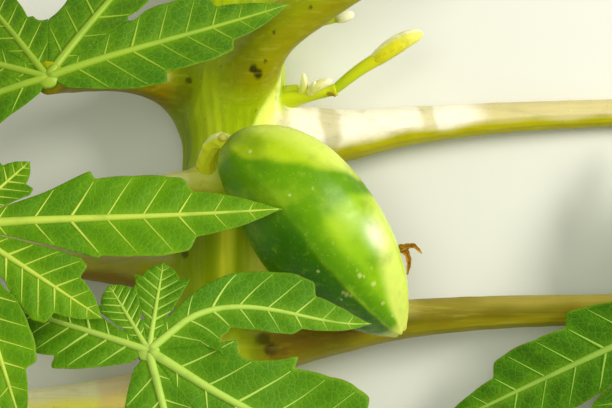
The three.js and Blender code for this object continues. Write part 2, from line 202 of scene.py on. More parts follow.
def path_at(points, share):
    """Places of the smooth path through the points, at shares of its length."""
    path = smooth_path(points, 200)
    return at_runs(path, np.linspace(0, 1, len(path)), share)


def run_length(path):
    """Distance along a path, point by point."""
    return np.concatenate([[0], np.cumsum(np.linalg.norm(np.diff(path, axis=0), axis=1))])


def unit(v):
    """Vectors at length one."""
    return v / np.maximum(np.linalg.norm(v, axis=-1, keepdims=True), 1e-9)


def turns(count):
    """Even turns round a limb, as one row."""
    return np.linspace(0, 2 * np.pi, count, endpoint=False)[None]


def tube_grid(path, radius, sides, across):
    """Rings round a path: point = centre + radius * (cos turn * side + sin turn * up), side being
    square to the path and to across. radius may be one number a ring or a grid of ring by side."""
    along = unit(np.gradient(path, axis=0))
    side = unit(np.cross(along, np.array(across, float)))
    up = np.cross(side, along)
    turn = turns(sides)[..., None]
    radius = np.broadcast_to(np.asarray(radius, float).reshape(len(path), -1), (len(path), sides))
    circle = np.cos(turn) * side[:, None] + np.sin(turn) * up[:, None]
    return path[:, None] + radius[..., None] * circle


def off_floor(grid):
    """The grid with every point at least CLEARANCE up."""
    return np.concatenate([grid[..., :2], np.maximum(grid[..., 2:], CLEARANCE)], -1)


def closed_faces(rings, sides):
    """Quads between neighbouring rings and a fan of triangles over each end."""
    ring = np.arange(sides)
    after = (ring + 1) % sides
    first = np.arange(rings - 1)[:, None] * sides
    a, b = (first + ring).ravel(), (first + after).ravel()
    quads = np.stack([a, b, b + sides, a + sides], -1).tolist()
    last = (rings - 1) * sides
    low = np.stack([after, ring, np.full(sides, rings * sides)], -1).tolist()
    high = np.stack([last + ring, last + after, np.full(sides, rings * sides + 1)], -1).tolist()
    return quads + low + high


def closed_body(grid):
    """A grid of rings with the middle of its first and last ring added, as points and faces."""
    rings, sides = grid.shape[:2]
    points = np.vstack([grid.reshape(-1, 3), grid[0].mean(0), grid[-1].mean(0)])
    return points, closed_faces(rings, sides)


def joined(bodies):
    """Several point and face lists as one."""
    points, faces, start = [], [], 0
    for body_points, body_faces in bodies:
        points.append(body_points)
        faces += [[i + start for i in face] for face in body_faces]
        start += len(body_points)
    return np.vstack(points), faces


def outward(mesh):
    """Turns every face of a closed mesh outwards."""
    work = bmesh.new()
    work.from_mesh(mesh)
    bmesh.ops.recalc_face_normals(work, faces=work.faces)
    work.to_mesh(mesh)
    work.free()


def new_object(name, points, faces, material, colours):
    """A smooth mesh object from points in layout millimetres, with one rgb for each as the
    attribute tint, which the skins read."""
    mesh = bpy.data.meshes.new(name)
    mesh.from_pydata((points * MM + ZERO).tolist(), [], faces)
    outward(mesh)
    mesh.shade_smooth()
    rgba = np.ones((len(points), 4), np.float32)
    rgba[:, :3] = colours
    mesh.attributes.new("tint", "FLOAT_COLOR", "POINT").data.foreach_set("color", rgba.ravel())
    mesh.materials.append(material)
    return linked(name, mesh)


def linked(name, data):
    """A new object in the scene with its mesh, camera or light."""
    obj = bpy.data.objects.new(name, data)
    bpy.context.scene.collection.objects.link(obj)
    return obj


def skinned(name, material, *parts):
    """One object from closed tubes, each a grid of rings and the tint of its points."""
    points, faces = joined([closed_body(grid) for grid, _ in parts])
    return new_object(name, points, faces, material, np.vstack([
        colour for _, tint in parts
        for colour in (tint.reshape(-1, 3), tint[0].mean(0), tint[-1].mean(0))]))


def install(piece, node):
    """The piece rides the cutting and stands for its solid."""
    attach(piece, "root")
    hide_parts(node)


def srgb(red, green, blue):
    """A colour given as it looks on screen, 0 to 255, as the linear values that shading needs."""
    c = np.array([red, green, blue]) / 255
    return np.where(c <= 0.04045, c / 12.92, ((c + 0.055) / 1.055) ** 2.4)


def soft_step(value, low, high):
    """0 below low, 1 above high, smooth between."""
    t = np.clip((value - low) / (high - low), 0, 1)
    return t * t * (3 - 2 * t)


def value_noise(points, scale, seed):
    """Smooth noise from sums of sines in turned directions, about -1 to 1."""
    rng = np.random.default_rng(seed)
    total = 0
    for _ in range(7):
        direction = unit(rng.normal(size=3)) * rng.uniform(0.6, 1.6) * 2 * np.pi / scale
        total = total + np.sin(points @ direction + rng.uniform(0, 2 * np.pi))
    return total / 4.5


# Materials

# Sockets of the mix node that mixes colours
MIX_SHARE, MIX_BELOW, MIX_ABOVE, MIX_RESULT = 0, 6, 7, 2


class Recipe:
    """A small helper that adds nodes to one material and links them."""

    def __init__(self, name, roughness, gloss=0.3, coat=0.0, sheen=0.0, subsurface=0.0):
        self.material = bpy.data.materials.new(name)
        self.material.use_nodes = True
        self.nodes = self.material.node_tree.nodes
        self.links = self.material.node_tree.links
        self.shader = self.nodes["Principled BSDF"]
        self.fill(self.shader, {
            "Roughness": roughness, "Specular IOR Level": gloss, "Sheen Weight": sheen,
            "Coat Weight": coat, "Coat Roughness": 0.25, "Subsurface Weight": subsurface,
            "Subsurface Radius": (0.6, 1.0, 0.2), "Subsurface Scale": 0.003})
        self.place = self.add("TexCoord", "Object")

    def fill(self, node, inputs):
        """Gives each input named a fixed value, or a link where the value is a socket."""
        for key, value in inputs.items():
            if hasattr(value, "links"):
                self.links.new(value, node.inputs[key])
            else:
                node.inputs[key].default_value = value

    def add(self, kind, output, inputs=None, **settings):
        """Adds a node and gives the output asked for."""
        node = self.nodes.new("ShaderNode" + kind)
        for key, value in settings.items():
            setattr(node, key, value)
        self.fill(node, inputs or {})
        return node.outputs[output]

    def stretched(self, scale):
        """Object coordinates scaled apart on each axis, so that a pattern can run along one."""
        return self.add("Mapping", "Vector", {"Scale": scale, "Vector": self.place})

    def noise(self, scale, detail=3.0, rough=0.55, vector=None):
        return self.add("TexNoise", "Fac", {
            "Scale": scale, "Detail": detail, "Roughness": rough, "Vector": vector or self.place})

    def cells(self, scale, feature="F1"):
        return self.add("TexVoronoi", "Distance", {"Scale": scale, "Vector": self.place},
                        feature=feature)

    def ramp(self, value, low, high, from_value=0.0, to_value=1.0):
        """Maps a value's range low to high onto from_value to to_value, held at the ends."""
        return self.add("MapRange", "Result", {
            "Value": value, "From Min": low, "From Max": high, "To Min": from_value,
            "To Max": to_value}, interpolation_type="SMOOTHSTEP")

    def weighted(self, value, weight, more=0.0):
        """value * weight + more."""
        product = self.add("Math", "Value", {0: value, 1: weight}, operation="MULTIPLY")
        return self.add("Math", "Value", {0: product, 1: more}, operation="ADD")

    def layers(self, *layers):
        """Base colour: the tint of its place under layers. Each layer is a colour, a pattern, the
        pattern's values between which it fades in and its greatest share."""
        base = self.add("Attribute", "Color", attribute_name="tint")
        for colour, pattern, low, high, share in layers:
            base = self.add("Mix", MIX_RESULT, {
                MIX_SHARE: self.ramp(pattern, low, high, 0, share), MIX_BELOW: base,
                MIX_ABOVE: (*srgb(*colour), 1)}, data_type="RGBA")
        self.fill(self.shader, {"Base Color": base})

    def roughness(self, pattern, low, high):
        """Roughness from low to high as the pattern goes from 0.3 to 0.7."""
        self.fill(self.shader, {"Roughness": self.ramp(pattern, 0.3, 0.7, low, high)})

    def bump(self, height, strength, distance):
        self.fill(self.shader, {"Normal": self.add("Bump", "Normal", {
            "Height": height, "Strength": strength, "Distance": distance})})


def stem_skin(name, grain):
    """Smooth green skin: streaks that run the way the limb does, fine specks and a faint grain."""
    r = Recipe(name, 0.5, gloss=0.16, coat=0.02, subsurface=0.06)
    streaks = r.noise(1.0, 3, 0.6, r.stretched(grain))
    blotches = r.noise(90)
    specks = r.cells(420)
    r.layers(
        ((96, 116, 0), streaks, 0.5, 0.75, 0.2), ((226, 234, 100), streaks, 0.5, 0.28, 0.12),
        ((120, 118, 6), blotches, 0.56, 0.75, 0.2), ((84, 74, 18), specks, 0.13, 0.07, 0.35))
    r.roughness(blotches, 0.36, 0.52)
    r.bump(r.weighted(specks, 0.25, streaks), 0.2, 0.0005)
    return r.material


def fruit_skin():
    """Waxy green skin: soft mottling, pale pin-pricks and dried latex specks."""
    r = Recipe("fruit_skin", 0.36, gloss=0.14, coat=0.035, subsurface=0.06)
    clouds = r.noise(38, 4)
    mottle = r.noise(260)
    r.layers(
        ((52, 104, 0), clouds, 0.5, 0.72, 0.45), ((176, 208, 40), clouds, 0.48, 0.28, 0.3),
        ((150, 190, 40), mottle, 0.55, 0.75, 0.25),
        ((196, 214, 104), r.cells(520), 0.14, 0.05, 0.5),
        ((214, 216, 150), r.cells(75), 0.09, 0.045, 0.55))
    r.roughness(mottle, 0.24, 0.4)
    r.bump(r.weighted(clouds, 1.2, r.weighted(mottle, 0.25)), 0.25, 0.0012)
    return r.material


def bud_skin():
    """Soft bud tissue with a fine grain."""
    r = Recipe("bud_skin", 0.5, sheen=0.05, subsurface=0.15)
    grain = r.noise(700, 2)
    r.layers(
        ((176, 184, 30), r.noise(160), 0.5, 0.75, 0.4), ((120, 100, 30), grain, 0.66, 0.8, 0.4))
    r.bump(grain, 0.3, 0.0003)
    return r.material


def withered_skin():
    """Dry petals with dark wrinkles."""
    r = Recipe("withered", 0.75)
    wrinkles = r.noise(500, 4, 0.7)
    r.layers(((60, 26, 4), wrinkles, 0.5, 0.68, 0.75))
    r.bump(wrinkles, 0.8, 0.0006)
    return r.material


def leaf_skin():
    """Leaf blade: broad shading, a net of fine veins and a soft wax."""
    r = Recipe("leaf_blade", 0.55, gloss=0.15, subsurface=0.03)
    clouds = r.noise(26)
    net = r.cells(330, "DISTANCE_TO_EDGE")
    fine = r.cells(900, "DISTANCE_TO_EDGE")
    r.layers(
        ((48, 104, 12), clouds, 0.48, 0.72, 0.42), ((132, 176, 30), net, 0.07, 0.02, 0.2),
        ((124, 168, 30), fine, 0.07, 0.02, 0.12))
    r.roughness(clouds, 0.4, 0.55)
    r.bump(r.weighted(r.ramp(net, 0.0, 0.18), 1, r.ramp(fine, 0.0, 0.15, 0, 0.4)), 0.35, 0.0005)
    return r.material


def rib_skin():
    """Leaf ribs: pale green, a little darker in patches, with a fine grain."""
    r = Recipe("leaf_rib", 0.45, coat=0.08, subsurface=0.08)
    r.layers(((120, 160, 46), r.noise(60), 0.48, 0.7, 0.5))
    r.bump(r.noise(600, 2), 0.25, 0.0003)
    return r.material


# Colours of place, worked out point by point and stored with the mesh

def plain(colour, grid):
    """One colour for every point of a grid."""
    return np.broadcast_to(srgb(*colour), grid.shape)


def blended(tint, other, share):
    """Moves a tint towards another by a share from 0 to 1, point by point."""
    share = np.asarray(share)[..., None]
    return tint * (1 - share) + other * share


def mixed(tint, *layers):
    """Moves a tint towards one colour after the other, each by its share."""
    for colour, share in layers:
        tint = blended(tint, srgb(*colour), share)
    return tint


def mound(value, centre, width):
    """A smooth hump: 1 at the centre, falling as exp(-(distance / width)^2)."""
    return np.exp(-((value - centre) / width) ** 2)


def spotted(tint, points, spots):
    """Adds round marks, each an x, a y, a radius, a colour and a strength, on what faces up."""
    for x, y, radius, colour, strength in spots:
        away = np.hypot(points[..., 0] - x, points[..., 1] - y)
        ragged = away * (1 + 0.22 * value_noise(points, 5.0, 4))
        inside = soft_step(-ragged, -radius * 1.15, -radius * 0.75)
        tint = mixed(tint, (colour, strength * inside))
    return tint


# Marks on the stem and the stalks, with a painted shadow among them: x, y, radius, colour, strength
SPECK = (58, 46, 8)
MARKS_ABOVE = 12.0    # the side that lies down has none
MARKS = [
    (10.4, 168.5, 1.9, (44, 36, 4), 0.9), (12.4, 166.2, 2.2, (52, 36, 4), 0.9),
    (15.6, 172.0, 0.8, SPECK, 0.8), (19.8, 184.4, 1.0, SPECK, 0.9),
    (11.2, 150.0, 0.6, SPECK, 0.6), (36.4, 195.0, 0.9, SPECK, 0.8),
    (-20.4, 164.5, 1.7, (72, 62, 0), 0.8), (-22.4, 159.0, 4.5, (112, 92, 0), 0.35),
    # Two dark spots at 14.6, 44.6 and 18.2, 40.2: a painted shadow in the axil of the lower right
    # stalk
    (14.6, 44.6, 3.2, (62, 58, 6), 0.7), (18.2, 40.2, 3.4, (52, 42, 6), 0.8),
    (22.0, 37.6, 4.6, (110, 84, 6), 0.45), (-22.4, 84.0, 2.0, (70, 50, 14), 0.7),
    (-12.4, 146.0, 0.5, SPECK, 0.5), (2.0, 152.5, 0.4, SPECK, 0.5),
    (-4.6, 170.5, 0.6, SPECK, 0.5), (5.4, 60.5, 0.7, SPECK, 0.6),
    (21.0, 160.0, 1.6, (186, 202, 50), 0.55), (21.4, 156.0, 2.0, (196, 208, 60), 0.55),
    (21.9, 151.8, 2.2, (206, 210, 90), 0.55), (22.8, 147.6, 2.6, (214, 204, 140), 0.6),
    (23.8, 143.6, 2.8, (220, 206, 160), 0.6), (-13.5, 62.0, 0.6, SPECK, 0.6),
    (-6.0, 27.0, 0.8, SPECK, 0.6), (8.0, 20.0, 0.7, SPECK, 0.6),
]

# Stem

# Old leaf scars on the back, each a turn and a place along the stem, and their half sizes
SCARS = [(math.radians(turn), y) for turn, y in (
    (150, 28), (215, 62), (165, 104), (228, 138), (175, 176))]
SCAR_WIDTH, SCAR_LENGTH = 9.5, 7.5

# The ringed node low on the front, and the turn and place of the cushion under each stalk
NODE_Y, NODE_TURN, NODE_RING = 37.0, 0.72, 4.2
CUSHIONS = []
for stalk in STALKS.values():
    root = np.array(stalk["path"][1], float)
    root_centre = stem_centre(root[1])
    root_turn = math.atan2(root[0] - root_centre[0], root[2] - root_centre[2])
    CUSHIONS.append((root_turn, root[1]))


def turn_apart(turn, other):
    """The smaller angle between two turns, from -pi to pi."""
    return np.arctan2(np.sin(turn - other), np.cos(turn - other))


def cushion_height(turn, y):
    """The low cushion under each stalk: CUSHION_HEIGHT * exp(-(turn apart / CUSHION_TURN)^2
    - (length apart / CUSHION_REACH)^2), summed."""
    total = 0
    for cushion_turn, cushion_y in CUSHIONS:
        around = mound(turn_apart(turn, cushion_turn), 0, CUSHION_TURN)
        total = total + CUSHION_HEIGHT * around * mound(y, cushion_y, CUSHION_REACH)
    return total


def scar_distance(turn, y):
    """How far a place on the back is from the middle of the nearest old scar, where 1 is the
    scar's heart-shaped outline."""
    nearest = np.full(np.broadcast(turn, y).shape, 9.0)
    for scar_turn, scar_y in SCARS:
        across = np.abs(turn_apart(turn, scar_turn)) * STEM_MEAN_RADIUS / SCAR_WIDTH
        along = (y - scar_y) / SCAR_LENGTH
        nearest = np.minimum(nearest, np.hypot(across, along + 0.3 * across))
    return nearest


def stem_skin_point(turn, y):
    """Stem skin: the lean axis plus radius * (sin turn, cos turn) across. The radius is the taper,
    the cushions, soft lengthwise ribs, the ringed node and a rim round each old scar."""
    ribs = 0.22 * np.cos(14 * turn + 0.6 * np.sin(y / 31)) + 0.14 * np.cos(33 * turn + y / 40)
    node = mound(y, NODE_Y, 7) * mound(turn_apart(turn, NODE_TURN), 0, 0.4)
    rings = node * (1.1 + 0.45 * np.cos(2 * np.pi * (y - 0.2 * turn) / NODE_RING))
    scar = scar_distance(turn, y)
    rims = 0.7 * mound(scar, 1, 0.16) - 0.4 * soft_step(-scar, -0.85, -0.6)
    radius = stem_radius(y) + cushion_height(turn, y) + ribs + rings + rims
    circle = np.stack([np.sin(turn), 0 * turn, np.cos(turn)], -1)
    return off_floor(stem_centre(y) + radius[..., None] * circle)


# Bands on the stem's front: middle across (-1 to 1), half width, middle along, half length, colour
# and strength. The dark band down the left edge is painted shade on the side away from the light,
# and the brightest band, low down at 86, is a painted sun patch.
STEM_BANDS = [
    # Painted shade down the left edge, the side away from the light
    (-0.86, 0.30, 150, 60, (112, 134, 0), 0.9),
    (-0.30, 0.34, 152, 50, (186, 206, 30), 0.6),
    (0.10, 0.20, 150, 34, (150, 176, 6), 0.6),
    (0.90, 0.055, 156, 24, (186, 206, 60), 0.8),
    (-0.56, 0.34, 88, 16, (134, 156, 0), 0.8),
    # A painted sun patch low on the stem
    (-0.05, 0.14, 86, 17, (255, 255, 60), 1.0),
    (0.26, 0.12, 84, 18, (150, 168, 4), 0.8),
    (0.62, 0.22, 80, 13, (240, 242, 90), 0.9),
    (0.16, 0.40, 37, 9, (206, 220, 40), 0.85),
    (-0.50, 0.40, 40, 22, (120, 140, 10), 0.6),
]


def stem_tint(turn, y):
    """Green all round, with light and dark bands along the front, some of them painted sun and
    shade, a bright wedge that is a painted sun patch, a brighter line beside the right-hand stalk
    that is a painted lit strip, and brown scars on the back."""
    across = np.sin(turn)
    front = soft_step(np.cos(turn), -0.3, 0.15)
    tint = srgb(178, 200, 0) + np.zeros((*across.shape, 3))
    tint = mixed(tint, ((112, 136, 8), 0.35 * (0.5 + 0.5 * np.cos(9 * turn + y / 50))))
    for middle, half, along, reach, colour, strength in STEM_BANDS:
        share = front * mound(across, middle, half) * np.exp(-((y - along) / reach) ** 4)
        tint = mixed(tint, (colour, strength * share))
    aside = STEM_MEAN_RADIUS * across
    # A painted patch of sunlight: a bright wedge whose one edge runs slantwise up the front
    past_edge = aside - 8.7 - 0.344 * (y - 142.4)
    wedge = soft_step(past_edge, -0.8, 0.8) * soft_step(-aside, -20.0, -18.6)
    wedge = wedge * soft_step(-y, -171, -166) * soft_step(y, 112, 124)
    # A painted lit strip down the right-hand side, where the light falls on the stem
    line = mound(aside, 18.2, 0.9) * mound(y, 148, 22)
    scar = scar_distance(turn, y)
    return mixed(
        tint, ((236, 246, 108), 0.92 * front * wedge), ((255, 255, 214), 0.8 * front * line),
        ((150, 120, 70), 0.8 * soft_step(-scar, -1.2, -0.9)),
        ((84, 60, 30), 0.7 * mound(scar, 1, 0.14)))


RIND, FLESH, PITH, BORE = (112, 138, 16), (206, 216, 132), (226, 226, 172), (150, 148, 84)


def cut_rings(radius, bore):
    """A cut end from the rim inwards and down its bore: each ring's share of the radius, how far
    out along the limb it is, and its colour."""
    share = bore / radius
    return [
        (0.988, 0.0, RIND), (0.94, 0.12, RIND), (0.915, 0.1, FLESH), (0.75, -0.1, FLESH),
        (0.5 + 0.5 * share, -0.25, PITH), (share * 1.08, -0.3, PITH), (share, -0.8, BORE),
        (share * 0.9, -bore * 1.1, BORE), (share * 0.5, -bore * 1.6, BORE)]


def with_cut(grid, tint, bore, at_start=False):
    """Carries a tube's last ring, or its first, in over its cut end and down into its bore."""
    if at_start:
        grid, tint = grid[::-1], tint[::-1]
    edge = grid[-1]
    middle = edge.mean(0)
    out = unit(middle - grid[-6].mean(0))
    radius = np.linalg.norm(edge - middle, axis=1).mean()
    flat = edge - ((edge - middle) @ out)[:, None] * out
    for share, step, colour in cut_rings(radius, bore):
        ring = middle + (flat - middle) * share + out * step
        grid = np.concatenate([grid, ring[None]])
        tint = np.concatenate([tint, plain(colour, ring[None])])
    if at_start:
        grid, tint = grid[::-1], tint[::-1]
    return grid, tint


def stem_distance(points):
    """How far a point stands outside the stem's skin, across the stem, with its turn and length
    there."""
    y = points[..., 1]
    away = points - stem_centre(y)
    turn = np.arctan2(away[..., 0], away[..., 2])
    skin = stem_skin_point(turn, y) - stem_centre(y)
    past_end = np.maximum(0, np.maximum(STEM_LOW - y, y - STEM_HIGH))
    outside = np.hypot(away[..., 0], away[..., 2]) - np.hypot(skin[..., 0], skin[..., 2])
    return outside + past_end, turn, y


# Leaf stalks: reach of the smooth join with the stem, then the colours of the side towards the top
# of the stem, of the middle and of the side towards its foot. The top colours are partly painted
# sunlight falling from that side and the colours towards the foot partly painted shade, over each
# stalk's own tones.
STALK_LOOKS = {
    "petiole_upper_right": (15, (152, 166, 0), (150, 158, 0), (152, 148, 0)),
    "petiole_upper_left": (14, (164, 172, 0), (156, 158, 0), (140, 124, 4)),
    "petiole_right": (9, (236, 224, 190), (242, 230, 192), (182, 174, 0)),
    "petiole_left": (8, (240, 236, 160), (222, 224, 92), (180, 176, 40)),
    "petiole_lower_left": (10, (206, 196, 130), (176, 176, 20), (136, 110, 20)),
    "petiole_lower_right": (14, (208, 194, 94), (106, 104, 0), (140, 130, 0)),
    "petiole_bottom_left": (12, (255, 246, 200), (246, 236, 100), (180, 146, 30)),
    "petiole_front": (10, (170, 176, 70), (160, 160, 50), (130, 120, 30)),
}

# Patches along a stalk: colour, x of its middle, half width and strength
STALK_BANDS = {
    "petiole_right": [
        # The grey-tan patches at 46 and 94 are painted shadows across the right-hand stalk
        ((255, 246, 238), 74, 46, 0.6), ((190, 180, 132), 46, 4, 0.75),
        ((196, 186, 116), 94.0, 3.4, 0.6), ((196, 182, 108), 180, 61, 0.7)],
    "petiole_upper_left": [((110, 92, 6), -50, 16, 0.4)],
    "petiole_lower_right": [
        ((156, 116, 6), 44, 30, 0.6), ((110, 92, 10), 60, 12, 0.4), ((146, 128, 30), 104, 14, 0.4),
        ((112, 98, 4), 152, 68, 0.65)],
    "petiole_bottom_left": [((236, 180, 140), -50, 12, 0.4), ((156, 116, 24), -34, 6, 0.5)],
    "petiole_lower_left": [((76, 56, 10), -24, 3, 0.7), ((190, 166, 100), -58, 14, 0.4)],
    "petiole_left": [((214, 216, 70), -13, 5, 0.6), ((206, 194, 140), -48, 20, 0.5)],
}


def stalk_line(name):
    """A stalk's middle line in even steps, with the run and the radius at each step: radius = end +
    (base - end) * exp(-(run - STALK_ROOT) / flare)."""
    facts = STALKS[name]
    length = run_length(smooth_path(facts["path"], 60))[-1]
    path = smooth_path(facts["path"], int(length / STALK_STEP))
    run = run_length(path)
    flare = np.exp(-np.maximum(0, run - STALK_ROOT) / facts["flare"])
    return path, run, facts["end"] + (facts["base"] - facts["end"]) * flare


LINES = {name: stalk_line(name) for name in STALKS}


def stalk_distance(name, points, batch=16384):
    """How far points stand outside a stalk, and which way from its middle line: the nearest of the
    line's steps is found, and its radius taken off the distance."""
    path, _, radius = LINES[name]
    flat = points.reshape(-1, 3)
    distance, facing = np.empty(len(flat)), np.empty_like(flat)
    for start in range(0, len(flat), batch):
        some = flat[start:start + batch]
        square = (some ** 2).sum(1)[:, None] - 2 * some @ path.T + (path ** 2).sum(1)[None]
        near = square.argmin(1)
        away = some - path[near]
        distance[start:start + batch] = np.linalg.norm(away, axis=1) - radius[near]
        facing[start:start + batch] = unit(away)
    return distance.reshape(points.shape[:-1]), facing.reshape(points.shape)


def soft_least(first, second, reach):
    """The lesser of two distances, rounded where they are alike:
    min - reach / 4 * (1 - apart / reach)^2."""
    alike = np.maximum(0, reach - np.abs(first - second)) / reach
    return np.minimum(first, second) - alike ** 2 * reach / 4


def joined_distance(points, names):
    """Distance from the one smooth skin of the stem and the stalks named."""
    distance = stem_distance(points)[0]
    for name in names:
        distance = soft_least(distance, stalk_distance(name, points)[0], STALK_LOOKS[name][0])
    return distance


def near_stalks(points, reach):
    """Stalks that come close to some of the points."""
    coarse = points.reshape(-1, 3)[::37]
    return [name for name in STALKS if stalk_distance(name, coarse)[0].min() < reach]


def on_joined_skin(middle, grid, names, most):
    """Moves each point of a limb's grid straight out from its middle line, or in, until it lies on
    the joined skin, by at most a given way."""
    out = unit(grid - middle)
    start = np.linalg.norm(grid - middle, axis=-1)
    radius = start.copy()
    for _ in range(DRAW_STEPS):
        radius -= DRAW_SHARE * joined_distance(middle + radius[..., None] * out, names)
        radius = np.clip(radius, start - DRAW_IN, start + most)
    return middle + radius[..., None] * out


def joined_tint(points, names):
    """Colour of a place on the joined skin: the stem's own bands, passing over into each stalk's
    sides and patches as the stalk comes nearer than the stem."""
    from_stem, turn, y = stem_distance(points)
    tint = stem_tint(turn, y)
    wander = 0.16 * value_noise(points, 30, 5)
    for name in names:
        reach, top, face, under = STALK_LOOKS[name]
        distance, facing = stalk_distance(name, points)
        # The side towards +Y takes the top colour, partly painted sunlight
        own = mixed(plain(face, points), (top, soft_step(facing[..., 1] + wander, 0.0, 0.75)))
        ragged = points[..., 0] + 2 * value_noise(points, 18, 6) + 2.5 * facing[..., 1] ** 2
        for shade, middle, width, strength in STALK_BANDS.get(name, []):
            edge = 1.2 + 0.1 * width
            own = mixed(own, (shade, strength * soft_step(
                width - np.abs(ragged - middle), -edge, edge)))
        # The side towards -Y takes the colour towards the foot, partly painted shade
        own = mixed(own, (under, soft_step(wander - facing[..., 1], 0.04, 0.6)))
        tint = blended(tint, own, soft_step(from_stem - distance, -0.15 * reach, 0.9 * reach))
    return np.where(points[..., 2:3] > MARKS_ABOVE, spotted(tint, points, MARKS), tint)


def make_stem(material):
    """The stem: a grid of turn by length on its skin, drawn out onto the joined skin round each
    stalk."""
    turn, y = np.meshgrid(turns(STEM_SIDES)[0], np.linspace(STEM_LOW, STEM_HIGH, STEM_RINGS))
    grid = stem_skin_point(turn, y)
    middle = stem_centre(y)
    inner = (y > STEM_LOW + 3) & (y < STEM_HIGH - 3)
    names = list(STALKS)
    drawn = on_joined_skin(middle, grid, names, STEM_DRAW_OUT)
    grid = np.where(inner[..., None], drawn, grid)
    nearest = np.minimum.reduce([stalk_distance(name, grid)[0] for name in names])
    sunk = SUNK * soft_step(stem_distance(grid)[0] - nearest, -CHANGE_OVER, CHANGE_OVER)
    grid = off_floor(grid - sunk[..., None] * unit(grid - middle))
    tint = joined_tint(grid, names)
    for at_start in (True, False):
        grid, tint = with_cut(grid, tint, STEM_BORE, at_start)
    return skinned("stem_length", material, (grid, tint))


def make_stalk(name, material):
    """A stalk: rings round its line, drawn onto the joined skin near the stem, with shallow
    grooves. Its first rings and what lies under the stem's skin are sunk out of sight."""
    path, run, radius = LINES[name]
    bore = STALKS[name]["bore"]
    if not bore:
        radius = radius * (1 - 0.5 * soft_step(run, run[-1] - 9, run[-1]))
    grid = tube_grid(path, radius, STALK_SIDES, (0, 1, 0))
    names = near_stalks(grid, 14)
    middle = path[:, None]
    grid = on_joined_skin(middle, grid, names, STALK_DRAW_OUT)
    turn = turns(STALK_SIDES)
    from_stem = stem_distance(grid)[0]
    grooves = 0.10 * np.cos(9 * turn) + 0.06 * np.cos(17 * turn + 1)
    grooves = (grooves + 0.12 * value_noise(grid, 14, 2)) * soft_step(from_stem, 1, 9)
    owner = soft_step(from_stem - stalk_distance(name, grid)[0], -CHANGE_OVER, CHANGE_OVER)
    sunk = SUNK * (1 - owner) + 1.2 * soft_step(-run, -6, -1)[:, None]
    grid = off_floor(grid + (grooves - sunk)[..., None] * unit(grid - middle))
    tint = joined_tint(grid, names)
    if bore:
        grid, tint = with_cut(grid, tint, bore)
    return skinned(name.replace("petiole", "stalk"), material, (grid, tint))


# Fruit

RIDGE_TURN = 0.25
TIP_FROM = 0.955
# Where the fruit's painted sunlit side faces
SUNNY = np.array([0.74, 0.67, 0.0])

# Dried latex on the fruit's face: x, y, radius, strength
LATEX_COLOUR = (204, 208, 120)
LATEX = [
    (58.0, 75.6, 0.9, 0.8), (59.6, 75.2, 0.6, 0.7), (64.0, 71.8, 1.1, 0.8), (63.2, 79.0, 0.5, 0.6),
    (68.4, 63.0, 0.8, 0.7), (50.6, 68.2, 0.8, 0.6), (52.2, 67.2, 1.0, 0.7), (54.0, 66.8, 0.7, 0.6),
    (37.6, 113.8, 0.6, 0.6), (46.0, 90.0, 0.5, 0.3), (56.6, 78.0, 0.5, 0.5), (73.0, 57.0, 0.7, 0.6),
]


def fruit_radius(share, turn):
    """FRUIT_RADIUS * sin(pi * share^0.918)^0.489 * (1 - 0.3 * share^6) * five soft ribs, with one
    narrow ridge line on each rib and a dimpled shoulder."""
    s = np.clip(share, 0.002, 0.999)
    belly = np.sin(np.pi * s ** 0.918) ** 0.489 * (1 - 0.3 * s ** 6)
    towards_tip = soft_step(s, 0.35, 0.95)
    wave = np.cos(FRUIT_RIBS * (turn - RIDGE_TURN))
    ribs = 1 + FRUIT_RIB * (1 + 1.6 * towards_tip) * wave
    ridge = (0.006 + 0.03 * towards_tip) * mound(ridge_apart(turn), 0, 0.07)
    shoulder = 0.05 * mound(s, 0.03, 0.035) * wave
    return FRUIT_RADIUS * belly * (ribs + ridge * np.sin(np.pi * s) ** 0.5 + shoulder)


def ridge_apart(turn):
    """Turn between a place on the fruit and the nearest ridge."""
    return turn_apart(FRUIT_RIBS * (turn - RIDGE_TURN), 0) / FRUIT_RIBS


